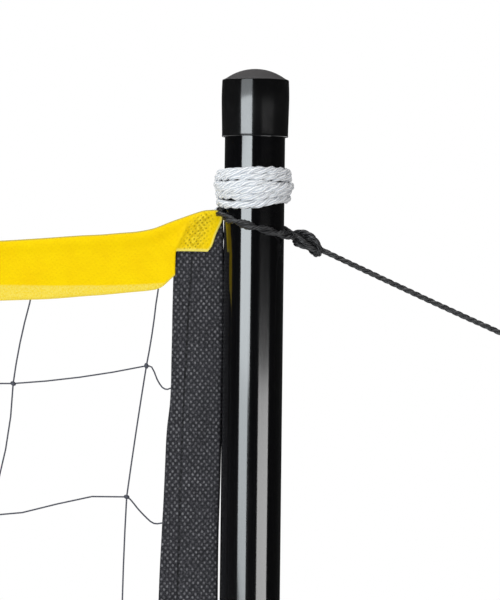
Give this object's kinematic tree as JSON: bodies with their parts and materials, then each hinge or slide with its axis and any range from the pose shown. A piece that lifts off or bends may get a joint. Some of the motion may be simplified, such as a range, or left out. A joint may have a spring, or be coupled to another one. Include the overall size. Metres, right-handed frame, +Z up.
{
  "type": "volleyball net on poles",
  "caption": "Volleyball net with yellow top tape, roped to two telescopic black steel poles with caps, clamps, rubber feet and guy ropes.",
  "frame": {"origin": "on the ground midway between the two poles", "axes": "+X along the net towards the right pole, +Y square to the net, away from the front, +Z up"},
  "size_m": [5.5184, 0.0898, 2.3684],
  "materials": {
    "gloss_black_steel": "gloss",
    "black_cap_plastic": "gloss",
    "black_moulded_plastic": "matte",
    "grey_slide_plastic": "matte",
    "zinc_screw_steel": "satin",
    "black_foot_rubber": "matte",
    "yellow_tape_fabric": "matte",
    "black_tape_fabric": "matte",
    "white_rope_fibre": "matte",
    "black_rope_fibre": "matte",
    "dark_net_twine": "matte"
  },
  "bodies": {
    "lower_poles": {"lower_tube_left": "gloss_black_steel", "lower_tube_right": "gloss_black_steel", "feet": "black_foot_rubber", "clamp_collars": "black_moulded_plastic"},
    "net_and_upper_poles": {"upper_tube_left": "gloss_black_steel", "upper_tube_right": "gloss_black_steel", "guide_bushes": "grey_slide_plastic", "pole_caps": "black_cap_plastic", "net_mesh": "dark_net_twine", "top_tape": "yellow_tape_fabric", "bottom_tape": "black_tape_fabric", "side_tape_left": "black_tape_fabric", "side_tape_right": "black_tape_fabric", "head_rope": "white_rope_fibre", "foot_rope": "black_rope_fibre", "lashings": "white_rope_fibre", "bottom_ties": "black_rope_fibre", "guy_hitches": "black_rope_fibre", "guy_knots": "black_rope_fibre", "guy_rope_left": "black_rope_fibre", "guy_rope_right": "black_rope_fibre", "guy_eyes": "black_rope_fibre", "eye_knots": "black_rope_fibre"},
    "clamp_pad_left": {"clamp_pad_left": "grey_slide_plastic"},
    "clamp_pad_right": {"clamp_pad_right": "grey_slide_plastic"},
    "clamp_knob_left": {"clamp_knob_left": "black_moulded_plastic", "clamp_screw_left": "zinc_screw_steel"},
    "clamp_knob_right": {"clamp_knob_right": "black_moulded_plastic", "clamp_screw_right": "zinc_screw_steel"}
  },
  "joints": [
    {"name": "net_height", "type": "slide", "parent": "lower_poles", "child": "net_and_upper_poles", "axis": [0, 0, 1], "range_m": [-0.24, 0.19]},
    {"name": "clamp_pad_left_slide", "type": "slide", "parent": "lower_poles", "child": "clamp_pad_left", "axis": [-1, 0, 0], "range_m": [0, 0.003]},
    {"name": "clamp_knob_left_turn", "type": "hinge", "parent": "clamp_pad_left", "child": "clamp_knob_left", "pos_m": [-2.4743, 0, 1.316], "axis": [-1, 0, 0], "range_deg": [0, 720]},
    {"name": "clamp_pad_right_slide", "type": "slide", "parent": "lower_poles", "child": "clamp_pad_right", "axis": [1, 0, 0], "range_m": [0, 0.003]},
    {"name": "clamp_knob_right_turn", "type": "hinge", "parent": "clamp_pad_right", "child": "clamp_knob_right", "pos_m": [2.4743, 0, 1.316], "axis": [1, 0, 0], "range_deg": [0, 720]}
  ],
  "couplings": [
    {"joint": "clamp_pad_left_slide", "follows": "clamp_knob_left_turn", "m_per_rad": 0.0002387},
    {"joint": "clamp_pad_right_slide", "follows": "clamp_knob_right_turn", "m_per_rad": 0.0002387}
  ]
}
